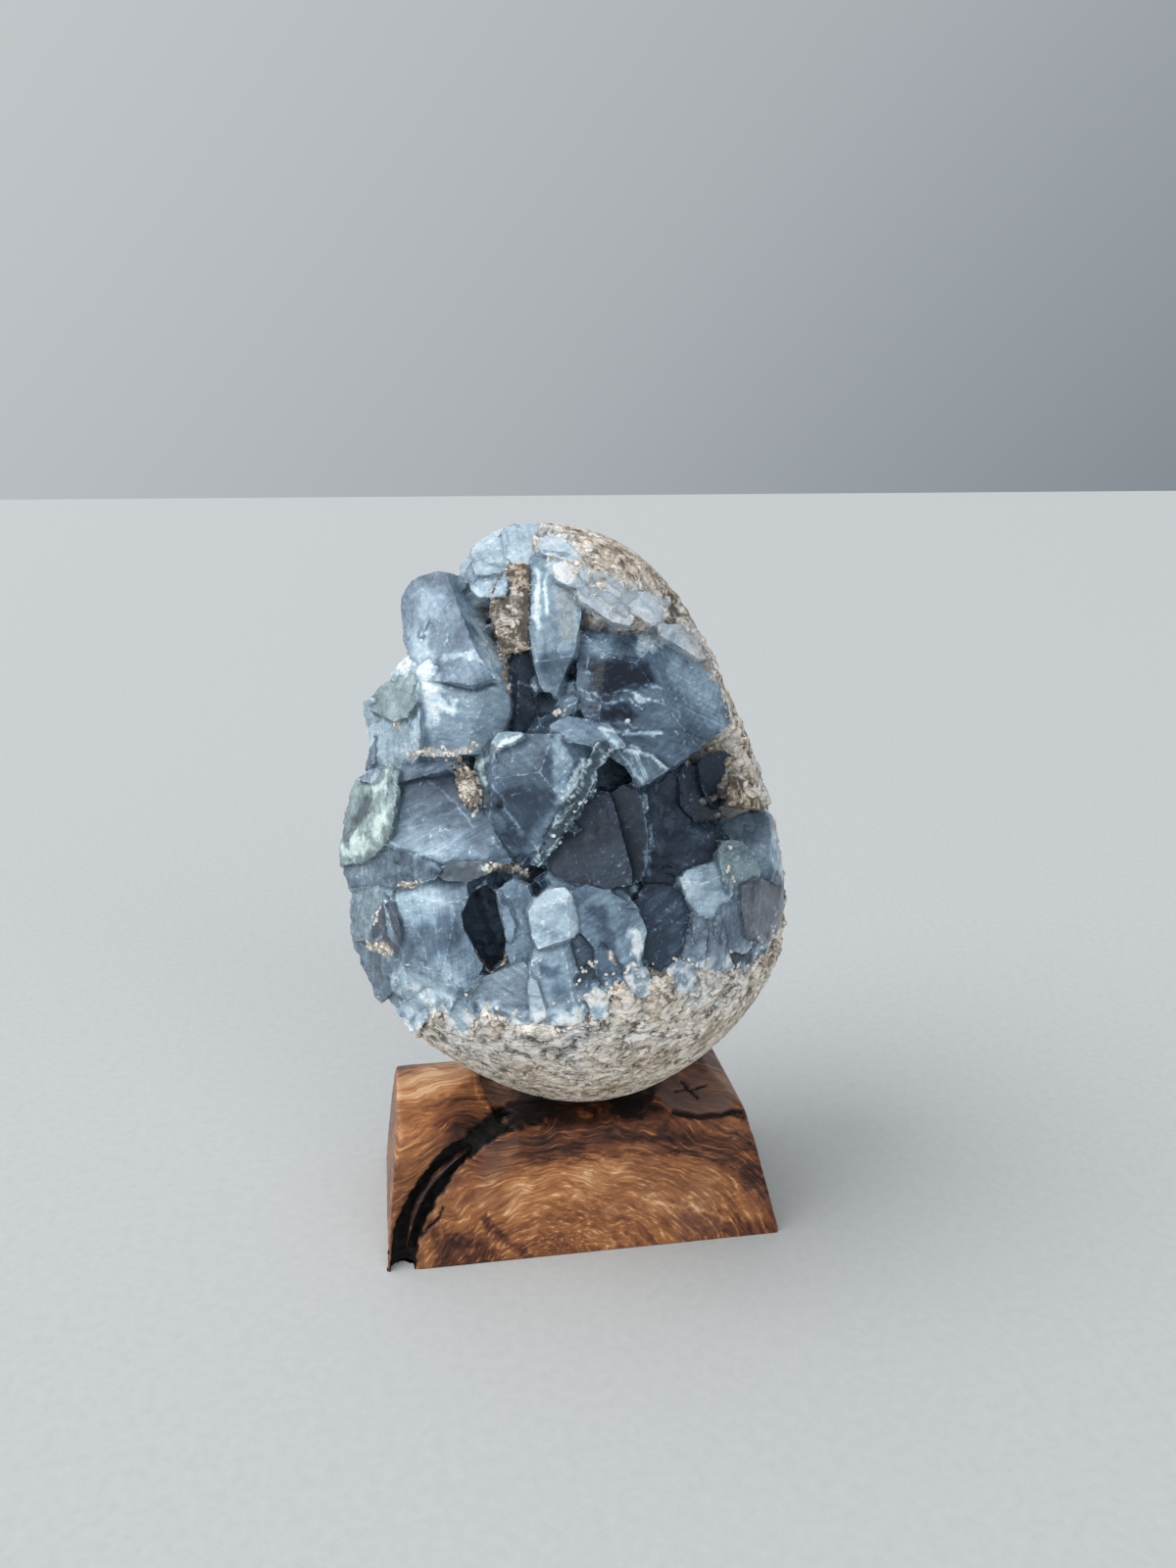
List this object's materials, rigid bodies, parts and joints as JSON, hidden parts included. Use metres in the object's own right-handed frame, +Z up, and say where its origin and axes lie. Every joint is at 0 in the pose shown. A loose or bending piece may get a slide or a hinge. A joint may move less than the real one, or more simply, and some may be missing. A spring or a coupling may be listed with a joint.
{
  "type": "ground celestite cluster egg on a wooden stand",
  "caption": "Egg-shaped celestite cluster: an open face of blue crystals in cream matrix, its back ground smooth, standing upright in the bored seat of a small hand-cut wooden stand.",
  "frame": {"origin": "on the surface that the stand rests on, under the middle of the whole object's bounding box", "axes": "+Z up along the egg's height, X along the stand's long side, -Y out of the open crystal face"},
  "size_m": [0.0842, 0.0736, 0.1348],
  "materials": {
    "celestite": "glossy blue crystal faces in a dull ground cream matrix",
    "wood": "reddish brown figured hardwood, satin"
  },
  "bodies": {
    "root": {"celestite_egg": "celestite", "wood_stand": "wood"}
  },
  "joints": []
}
